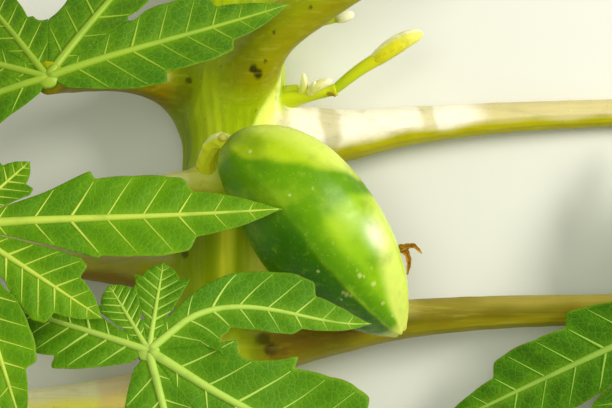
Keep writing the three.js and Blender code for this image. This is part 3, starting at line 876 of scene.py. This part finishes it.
def fruit_tint(grid, facing, share, turn):
    """Deep green as the fruit looks in shade, with two painted sunlit fields that have ragged edges
    and pale painted rims of light on the sunny side, a painted highlight, a painted shaded side,
    thin pale lines along the ridges and a yellow tip with a dark pit."""
    s = share * np.ones_like(turn)
    over = facing @ SUNNY
    ragged = 0.04 * value_noise(grid, 22, 9)
    upper = soft_step(facing[..., 2], -0.25, 0.2)
    first = soft_step(0.10 + 0.31 * over - s + 0.6 * ragged, -0.03, 0.03)
    first = first * soft_step(over, -0.4, 0.1)
    ridge_side = 0.05 + 0.2 * np.maximum(0, s - 0.66)
    second = soft_step(s - 0.425 - 0.3 * np.maximum(0, over - 0.7) + 0.6 * ragged, -0.02, 0.03)
    second = second * soft_step(over - ridge_side + ragged, -0.08, 0.16)
    pale_from = 0.62 - 1.65 * (s - 0.6)
    pale = np.maximum(first * soft_step(over, 0.5, 0.95),
                      second * soft_step(over - pale_from, -0.12, 0.2))
    # A painted highlight on the sunny side, where the light glints
    painted_highlight = mound(s, 0.61, 0.06) * mound(over, 0.64, 0.13)
    line = mound(ridge_apart(turn) + 0.05 * value_noise(grid, 15, 12), 0, 0.045)
    broken = (0.6 + 0.4 * value_noise(grid, 9, 13)) * (0.15 + 0.55 * soft_step(s, 0.4, 0.75))
    # Painted light and shade: the sunlit fields, their pale rims, the brighter band and the
    # highlight light the side towards SUNNY, and the darker greens paint shade on the side away
    # from it
    tint = mixed(
        plain((96, 148, 0), grid),
        ((180, 206, 28), 0.88 * first * upper),
        ((138, 186, 12), 0.85 * second * upper),
        ((214, 228, 104), 0.88 * pale * upper),
        ((176, 208, 40), 0.5 * mound(s, 0.5, 0.07) * second * upper),
        ((254, 254, 224), 0.8 * painted_highlight * upper),
        ((44, 104, 0), 0.85 * soft_step(-over, -0.02, 0.4) * soft_step(s, 0.22, 0.42)),
        ((70, 124, 0), 0.6 * soft_step(-over, 0.2, 0.8) * soft_step(-s, -0.4, -0.2)),
        ((160, 194, 40), broken * line),
        ((222, 228, 104), 0.85 * soft_step(s, 0.93, 0.98)),
        ((90, 80, 14), 0.9 * soft_step(s, 0.9975, 0.9993)),
        ((170, 192, 40), 0.8 * soft_step(-s, -0.05, -0.012)))
    return spotted(tint, grid, [
        (x, y, radius, LATEX_COLOUR, 0.8 * strength) for x, y, radius, strength in LATEX])


def make_fruit(material):
    """The fruit: rings about its bowed axis, closest at both ends, with five small lobes and a pit
    at the tip and low lumps."""
    share = (1 - np.cos(np.linspace(0.03, np.pi - 0.03, FRUIT_RINGS))) / 2
    path = path_at(FRUIT_PATH, share)
    along = unit(np.gradient(path, axis=0))
    up = unit(np.array([0, 0, 1.0]) - along * along[:, 2:3])
    side = np.cross(along, up)
    share, turn, middle = share[:, None], turns(FRUIT_SIDES), path[:, None]
    circle = np.cos(turn)[..., None] * up[:, None] + np.sin(turn)[..., None] * side[:, None]
    grid = middle + fruit_radius(share, turn)[..., None] * circle
    lobes = soft_step(share, TIP_FROM, 0.985) * mound(share, 0.992, 0.01)
    lobes = 0.9 * lobes * (0.5 + 0.5 * np.cos(FRUIT_RIBS * turn))
    pit = -2.2 * mound(share, 1.0, 0.0012)
    grid = grid + (lobes + pit)[..., None] * along[:, None]
    lumps = 0.14 * value_noise(grid, 26, 11)
    lumps = lumps + 0.22 * soft_step(share, 0.5, 0.9) * value_noise(grid, 7, 14)
    grid = grid + lumps[..., None] * unit(grid - middle)
    tint = fruit_tint(grid, unit(grid - middle), share, turn)
    return skinned("papaya_fruit", material, (grid, tint))


def fillet(distance, radius):
    """Extra radius of a limb near the stem, a quarter circle:
    radius - sqrt(radius^2 - (radius - distance)^2)."""
    short = radius - np.clip(distance + 0.4, 0, radius)
    return radius - np.sqrt(np.maximum(0, radius ** 2 - short ** 2))


def make_fruit_stalk(material):
    """A curved tube, radius 3.6 + 2.2 * exp(-run / 8), flared again where it meets the stem and the
    fruit, with a bud scar halfway and a small dry flap at its foot."""
    rings, sides = 90, 56
    path = smooth_path(FRUIT_STALK, rings)
    run = run_length(path)[:, None]
    radius = 3.6 + 2.2 * np.exp(-run / 8) + 1.3 * np.exp((run - run[-1]) / 3.5)
    scar = mound(run, 0.6 * run[-1], 2.0) * mound(turn_apart(turns(sides), 4.4), 0, 0.6)
    radius = radius * (1 + 0.03 * np.cos(7 * turns(sides))) + 1.2 * scar
    grid = tube_grid(path, radius, sides, (1, 0, 0))
    for _ in range(4):
        grown = radius + fillet(stem_distance(grid)[0], 3.5)
        grid = tube_grid(path, grown, sides, (1, 0, 0))
    facing = unit(grid - path[:, None])
    # A painted highlight along the upper left edge of the stalk
    rim = soft_step(0.8 * facing[..., 1] - 0.6 * facing[..., 0], 0.35, 0.85)
    tint = mixed(
        plain((218, 228, 34), grid),
        ((240, 226, 24), 0.8 * soft_step(facing[..., 0], 0.1, 0.6) * mound(run, 14, 9)),
        ((246, 248, 176), 0.8 * rim))
    tint = spotted(tint, grid, [
        (-2.9, 136.8, 2.4, (150, 130, 14), 0.6), (-2.5, 137.0, 1.4, (232, 226, 90), 0.7)])
    flap_path = smooth_path(FLAP, 24)
    share = np.linspace(0, 1, 24)
    flap = tube_grid(flap_path, 3.4 * (1 - share) ** 0.8 + 0.15, 20, (0, 0, 1))
    flap = flap_path[:, None] + (flap - flap_path[:, None]) * np.array([1, 1, 0.4])
    flap_tint = mixed(plain((196, 200, 90), flap), ((160, 156, 70), share[:, None] * np.ones(20)))
    return skinned("fruit_stalk_curve", material, (grid, tint), (flap, flap_tint))


# Flower buds

def flower_bud(points, radius, body, tip, foot, top=None, sides=30, rings=48, twist=0.8,
               ridge=0.07):
    """A plump bud and its tint. Its radius is an oval cut by its foot, radius * sqrt(1 - ((share -
    0.42) / 0.62)^2), closed round at the tip, with five overlapping petal edges winding round it
    as ridges of (1 + ridge * sawtooth(5 * turn + twist)). Tip and foot colours fade in, each petal
    edge is darker, and the side towards +Y may take a painted highlight in a colour of its own."""
    share = np.sin(0.5 * np.pi * np.linspace(0, 1, rings))[:, None]
    close = np.sqrt(1 - ((share - 0.9) / 0.1).clip(0, 0.99) ** 2)
    swell = radius * np.sqrt(1 - ((share - 0.42) / 0.62) ** 2) * close
    saw = (5 * turns(sides) / (2 * np.pi) + twist * share) % 1
    path = path_at(points, share[:, 0])
    grid = tube_grid(path, swell * (1 + ridge * (saw - 0.5)), sides, (0, 1, 0))
    share = share * np.ones(sides)
    tint = mixed(
        plain(body, grid), (tip, soft_step(share, 0.45, 0.95)),
        (foot, soft_step(-share, -0.3, -0.05)), ((170, 160, 30), 0.4 * soft_step(saw, 0.86, 0.99)))
    # A painted highlight on the side towards +Y, where the light falls
    if top:
        facing = unit(grid - grid.mean(1, keepdims=True))
        tint = mixed(tint, (top, 0.9 * soft_step(facing[..., 1], 0.1, 0.7)))
    return grid, tint


def short_tube(points, radius, rings, sides, colour, end_colour):
    """A tube and its tint, from one colour to another; radius is a function of the run along it
    and of the whole length."""
    path = smooth_path(points, rings)
    run = run_length(path)
    grid = tube_grid(path, radius(run, run[-1]), sides, (0, 1, 0))
    share = (run / run[-1])[:, None] * np.ones(sides)
    return grid, mixed(plain(colour, grid), (end_colour, share))


def make_long_bud(material):
    return skinned("long_flower_bud", material, flower_bud(
        LONG_BUD, 4.3, (226, 220, 24), (244, 238, 120), (214, 206, 10), (250, 248, 200),
        sides=40, rings=60, twist=0.9, ridge=0.08))


def make_bud_spray(material):
    """The stalk of the flower spray, the long bud's own stalk, three small buds, a bract and the
    tissue in the axil."""
    def spray_radius(run, end):
        return 2.1 + 5.0 * np.exp(-run / 12) + 0.6 * mound(run, end, 2)

    def pedicel_radius(run, _):
        return (2.4 + 0.03 * run) * (1 - 0.35 * np.exp(-run / 2.5))

    def tapering(foot, lost):
        return lambda run, end: foot - lost * run / end

    return skinned(
        "flower_bud_spray", material,
        short_tube(BUD_STALK, spray_radius, 50, 28, (192, 208, 10), (206, 214, 20)),
        short_tube(PEDICEL, pedicel_radius, 50, 24, (176, 200, 6), (214, 214, 20)),
        flower_bud(OVAL_BUD, 2.6, (236, 232, 130), (250, 244, 204), (206, 214, 50)),
        flower_bud(HORN_BUD, 1.9, (222, 222, 100), (246, 240, 190), (200, 210, 50), twist=0.4),
        flower_bud(SMALL_BUD, 1.8, (230, 226, 120), (248, 244, 200), (206, 214, 60), twist=0.6),
        short_tube(BRACT, tapering(1.3, 1.15), 16, 14, (176, 150, 30), (120, 80, 16)),
        short_tube(AXIL_TISSUE, tapering(4.2, 2.4), 30, 24, (196, 210, 20), (206, 216, 60)))


def make_upper_bud(material):
    """A bud on its stalk in one tube: its last 9 mm swell out and have five petal ridges."""
    rings, sides = 80, 30
    path = smooth_path(UPPER_BUD, rings)
    run = run_length(path)[:, None]
    to_tip = np.clip((run[-1] - run) / 9, 0.01, 1)
    bud = 0.4 + 1.8 * np.sin(np.pi * to_tip ** 0.8) ** 0.6 + 1.1 * to_tip
    radius = np.where(to_tip < 1, bud, 1.6 + 1.1 * np.exp(-run / 6))
    saw = (5 * turns(sides) / (2 * np.pi) + run / 16) % 1
    petals = soft_step(-to_tip, -0.98, -0.8)
    grid = tube_grid(path, radius * (1 + 0.07 * petals * (saw - 0.5)), sides, (0, 1, 0))
    tint = mixed(plain((196, 208, 40), grid), ((252, 248, 212), petals * np.ones(sides)))
    return skinned("upper_flower_bud", material, (grid, tint))


def make_withered_flower(material):
    """Two thin curled petals: a flat strip whose half width is 1.75 * sin-shaped along its path and
    whose edges curl up, closed with an underside 0.4 mm below."""
    rings, columns = 46, 15
    share = np.linspace(0, 1, rings)[:, None]
    across = np.linspace(-1, 1, columns)[None]
    everywhere = np.ones(2 * columns)
    petals = []
    for index, points in enumerate(PETALS):
        path = smooth_path(points, rings)
        along = unit(np.gradient(path, axis=0))
        side = unit(np.cross(along, np.array([0.1, 0.1, 1.0])))
        up = np.cross(side, along)
        half = 1.75 * (1 - 0.5 * share) * np.sin(np.pi * (0.2 + 0.78 * share)) ** 0.4
        half = half * (1 + 0.12 * np.sin(31 * share + 3 * index))
        curl = 0.75 * half * across ** 2 + 0.14 * np.sin(9 * across + 11 * share)
        top = path[:, None] + (half * across)[..., None] * side[:, None]
        top = top + curl[..., None] * up[:, None]
        grid = np.concatenate([top, top[:, ::-1] - 0.4 * up[:, None]], 1)
        edge = np.concatenate([np.abs(across) * np.ones_like(share)] * 2, 1)
        petals.append((grid, mixed(
            plain((150, 98, 22), grid), ((206, 160, 44), 0.8 * edge),
            ((232, 196, 60), 0.7 * soft_step(share, 0.75, 1.0) * everywhere),
            ((90, 46, 8), 0.7 * soft_step(-share, -0.3, 0.0) * everywhere))))
    return skinned("withered_petals", material, *petals)


# Leaves

# Colours of each leaf: blade, blade between the veins, rib
LEAF_LOOKS = {
    "leaf_upper_left": ((78, 124, 4), (62, 108, 2), (146, 178, 46)),
    "leaf_middle_left": ((92, 142, 2), (76, 126, 2), (186, 208, 76)),
    "leaf_lower_left": ((84, 135, 14), (70, 120, 6), (174, 206, 84)),
    "leaf_right": ((70, 124, 4), (50, 98, 2), (150, 190, 70)),
}


def blade_point(leaf, x, y, height):
    """A place on a blade, x and y along it from its stalk and height above it: the blade tilts back
    and sags by sag * r^2 / (r^2 + reach^2)."""
    square = x ** 2 + y ** 2
    rise = height - leaf["sag"] * square / (square + leaf["reach"] ** 2)
    c, s = math.cos(leaf["tilt"]), math.sin(leaf["tilt"])
    return np.stack([x, y * c + rise * s, rise * c - y * s], -1) + np.array(leaf["centre"], float)


def vein_length(share, width):
    """From midrib to margin along the slanted vein: width * sin(pi * (0.16 + 0.84 share^0.75))^1.1
    * tooth, the tooth rising from 0.7 to 1 and dropping back at once, LOBE_TEETH times, with fine
    serrations."""
    swell = np.sin(np.pi * np.minimum(0.999, 0.16 + 0.84 * share ** 0.75)) ** 1.1
    phase = (LOBE_TEETH * share) % 1
    tooth = soft_step(np.minimum(phase / 0.8, (1 - phase) / 0.2), -0.25, 1.05)
    small = 0.02 * np.abs(np.sin(np.pi * 9 * share))
    return width * swell * (0.7 + 0.28 * tooth + small) / math.sin(VEIN_SLANT)


def margin_vein(leaf, index, step, share):
    """Length of the slanted vein up to the margin, on one side of a lobe, and how free the margin
    is. As far as the sinus the vein ends where it meets the next lobe's, midway between the two, at
    along * sin(half) / sin(slant - half). Beyond it the margin sweeps out in a hollow curve to the
    first tooth and then runs free."""
    lobes = leaf["lobes"]
    length, width = lobes[index][1:3]
    narrowed, deep, run = leaf.get("sides", {}).get((index, step), PLAIN_SIDE)
    width = width * narrowed
    free = vein_length(share, width)
    other = index + step
    wraps = other < 0 or other >= len(lobes)
    other %= len(lobes)
    apart = math.radians(lobes[other][0] - lobes[index][0])
    half = abs(math.remainder(apart, 2 * math.pi)) / 2
    if half >= VEIN_SLANT - 0.02:
        return free, np.ones_like(free)
    reach = length * math.sin(half) / math.sin(VEIN_SLANT - half)
    limit = share * reach * (0.93 if wraps else 1.0)
    if wraps:
        return np.minimum(free, limit), soft_step(limit - free, 0, 5)
    sinus = SINUS_SHARE * min(length, lobes[other][1])
    root = sinus * math.sin(VEIN_SLANT - half) / math.sin(VEIN_SLANT) / length
    tooth = max(0.3, root + run)
    at_tooth = min(float(vein_length(np.array(tooth), width)), tooth * reach)
    sweep = np.clip((share - root) / (tooth - root), 0, 1)
    hollow = (1 - sweep) * root * reach + sweep * at_tooth - deep * np.sin(np.pi * sweep)
    margin = np.where(share < root, limit, np.where(share < tooth, hollow, free))
    return np.minimum(margin, limit), soft_step(share, root, root + 0.06)


def midrib_point(lobe, along):
    """A place on a lobe's midrib: along * (cos, sin) of its angle, which swings by the lobe's bend
    times sin^2(pi / 2 * u^0.7), u running from 0 at a fifth of the length to 1 at the tip."""
    bend = lobe[3] if len(lobe) > 3 else 0
    u = np.clip((along / lobe[1] - 0.2) / 0.8, 0, 1)
    angle = np.radians(lobe[0] + bend * np.sin(0.5 * np.pi * u ** 0.7) ** 2)
    return np.stack([along * np.cos(angle), along * np.sin(angle)], -1)


def lobe_place(leaf, index, share, across):
    """A point of a lobe: share * length along its midrib, then across (-1 to 1) of the slanted
    vein. Gives x, y along the blade, the distance from the midrib and how free the margin is."""
    lobe = leaf["lobes"][index]
    left, left_free = margin_vein(leaf, index, 1, share)
    right, right_free = margin_vein(leaf, index, -1, share)
    vein = np.where(across > 0, left, right) * np.abs(across)
    along = share * lobe[1] + vein * math.cos(VEIN_SLANT)
    aside = np.sign(across) * vein * math.sin(VEIN_SLANT)
    place = midrib_point(lobe, along)
    ahead = unit(midrib_point(lobe, along + 0.5) - place)
    x = place[..., 0] - aside * ahead[..., 1]
    y = place[..., 1] + aside * ahead[..., 0]
    return x, y, np.abs(aside), np.where(across > 0, left_free, right_free)


def blade_height(leaf, x, y, from_midrib, share, across):
    """Height of the blade over its sagging plane: a fold up from each midrib, a quilted bulge
    between side veins and broad waves that grow towards the margin."""
    fold = 0.17 * from_midrib ** 2 / (from_midrib + 7)
    quilt = 0.55 * np.sin(np.pi * SIDE_VEINS * share) ** 2 * np.sin(np.pi * np.abs(across)) ** 0.8
    place = np.stack([x, y, np.full_like(x, 10.0 * leaf["seed"])], -1)
    waves = 1.9 * value_noise(place, 46, leaf["seed"]) * np.minimum(1.4, from_midrib / 14) ** 1.4
    ripple = 0.35 * value_noise(place, 13, leaf["seed"] + 1) * np.minimum(1, from_midrib / 8)
    return fold + quilt + waves + ripple


def lobe_blade(leaf, index, blade, between):
    """One lobe's blade and its tint: its upper side over its underside, thinner at the margin."""
    rows, columns = 120, 27
    across = np.linspace(-1, 1, columns)
    across = np.sign(across) * np.abs(across) ** 0.9
    across, share = np.meshgrid(across, np.linspace(0.004, 0.996, rows))
    x, y, away, free = lobe_place(leaf, index, share, across)
    height = blade_height(leaf, x, y, away, share, across)
    aside = np.abs(across)
    thick = LEAF_THICK * (1 - 0.7 * aside ** 10)
    top = blade_point(leaf, x, y, height)
    bottom = blade_point(leaf, x, y, height - thick)[:, ::-1]
    hollow = np.sin(np.pi * SIDE_VEINS * share) ** 2 * soft_step(aside, 0.05, 0.3)
    broad = value_noise(np.stack([x, y, 0 * x], -1), 60, leaf["seed"] + 2)
    tint = mixed(
        plain(blade, top), (between, 0.8 * hollow), ((132, 176, 30), 0.35 * mound(away, 0, 3.5)),
        ((150, 176, 30), 0.35 * free * soft_step(aside, 0.93, 1.0)),
        ((60, 112, 8), 0.3 * soft_step(broad, 0.1, 0.9)))
    below = mixed(tint, ((150, 184, 96), 0.6))[:, ::-1]
    return np.concatenate([top, bottom], 1), np.concatenate([tint, below], 1)


def rib_tube(leaf, index, share, across, radius, sides):
    """A rib lying half sunk on the blade along a run of places given as share and across."""
    x, y, away, _ = lobe_place(leaf, index, share, across)
    height = blade_height(leaf, x, y, away, share, across)
    path = blade_point(leaf, x, y, height + 0.12 * radius)
    return tube_grid(path, radius, sides, (0.2, 0.1, 1))


def lobe_ribs(leaf, index):
    """A lobe's midrib and its side veins, the one that runs to each tooth thicker."""
    share = np.linspace(0.004, 0.985, 46)
    thick = (1.9 * (1 - share) ** 0.75 + 0.16) * (0.45 + 0.55 * leaf["lobes"][index][1] / 120)
    ribs = [rib_tube(leaf, index, share, np.zeros_like(share), thick, 12)]
    out = np.linspace(0, 0.93, 12)
    for k in range(1, SIDE_VEINS):
        start = k / SIDE_VEINS
        main = 1.15 if k % (SIDE_VEINS // LOBE_TEETH) == 0 else 0.75
        slim = main * (0.62 * (1 - out) ** 0.8 + 0.1) * (1.1 - 0.6 * start)
        for side in (-1, 1):
            ribs.append(rib_tube(
                leaf, index, np.full_like(out, start), side * (out + 0.001), slim, 6))
    return ribs


def leaf_boss(leaf):
    """The low dome where the lobes meet over the stalk."""
    turn = turns(28)
    ring = np.linspace(0.02, 1, 12)[:, None]
    x, y = BOSS_RADIUS * np.cos(turn), BOSS_RADIUS * np.sin(turn)
    dome = blade_point(leaf, ring * x, ring * y, BOSS_HEIGHT * (1 - ring ** 2) + 0 * turn)
    return np.concatenate([dome, blade_point(leaf, x, y, -2.0 + 0 * turn)])


def make_leaf(name, blade_material, rib_material):
    """A leaf: the blades of its lobes, then the ribs and the boss in a finish of their own."""
    leaf = LEAVES[name]
    blade, between, rib = LEAF_LOOKS[name]
    numbers = range(len(leaf["lobes"]))
    blades = [lobe_blade(leaf, index, blade, between) for index in numbers]
    ribs = [grid for index in numbers for grid in lobe_ribs(leaf, index)] + [leaf_boss(leaf)]
    obj = skinned(name.replace("leaf", "papaya_leaf"), blade_material,
                  *blades, *((grid, plain(rib, grid)) for grid in ribs))
    obj.data.materials.append(rib_material)
    slots = np.zeros(len(obj.data.polygons), np.int32)
    slots[sum(len(closed_body(grid)[1]) for grid, _ in blades):] = 1
    obj.data.polygons.foreach_set("material_index", slots)
    return obj


# Camera, light and floor

def place_camera():
    """Straight above the cutting and looking down, +Y at the top of the picture."""
    data = bpy.data.cameras.new("camera")
    data.sensor_width = SENSOR
    data.lens = SENSOR * (VIEW_HEIGHT - VIEW_WIDTH_AT) / VIEW_WIDTH
    data.clip_start = 0.01
    camera = linked("camera", data)
    camera.location = np.array([*VIEW_CENTRE, VIEW_HEIGHT]) * MM + ZERO
    bpy.context.scene.camera = camera


def light_scene():
    """A pale sky, a key light from the upper right and a soft fill from above."""
    world = bpy.data.worlds.new("studio")
    bpy.context.scene.world = world
    world.use_nodes = True
    background = world.node_tree.nodes["Background"]
    background.inputs["Color"].default_value = SKY_COLOUR
    background.inputs["Strength"].default_value = SKY_STRENGTH
    for name, place, target, size, power, colour, mirrored in LIGHTS:
        data = bpy.data.lights.new(name, "AREA")
        data.size, data.energy, data.color = size, power, colour
        light = linked(name, data)
        light.location = place
        way = Vector(target) - Vector(place)
        light.rotation_euler = way.to_track_quat("-Z", "Y").to_euler()
        light.visible_glossy = mirrored
    bpy.context.scene.view_settings.view_transform = "Standard"


def make_floor():
    """A plain pale square under the cutting."""
    mesh = bpy.data.meshes.new("floor")
    corners = [(x * FLOOR_HALF, y * FLOOR_HALF, 0) for x, y in ((-1, -1), (1, -1), (1, 1), (-1, 1))]
    mesh.from_pydata(corners, [], [(0, 1, 2, 3)])
    paint = bpy.data.materials.new("floor_paint")
    paint.use_nodes = True
    shader = paint.node_tree.nodes["Principled BSDF"]
    shader.inputs["Base Color"].default_value = FLOOR_COLOUR
    shader.inputs["Roughness"].default_value = 0.8
    mesh.materials.append(paint)
    linked("floor", mesh)


place_camera()
light_scene()
make_floor()

# The stem's streaks run along Y and the stalks' along X
green = stem_skin("stem_skin", (420, 22, 420))
stalk_green = stem_skin("stalk_skin", (22, 420, 420))
soft = bud_skin()
blade_green = leaf_skin()
rib_green = rib_skin()

install(make_stem(green), "stem")
for name in STALKS:
    install(make_stalk(name, stalk_green), name)
install(make_fruit(fruit_skin()), "fruit")
install(make_fruit_stalk(green), "fruit_stalk")
install(make_long_bud(soft), "long_bud")
install(make_bud_spray(soft), "bud_spray")
install(make_upper_bud(soft), "upper_bud")
install(make_withered_flower(withered_skin()), "withered_flower")
for name in LEAVES:
    install(make_leaf(name, blade_green, rib_green), name)
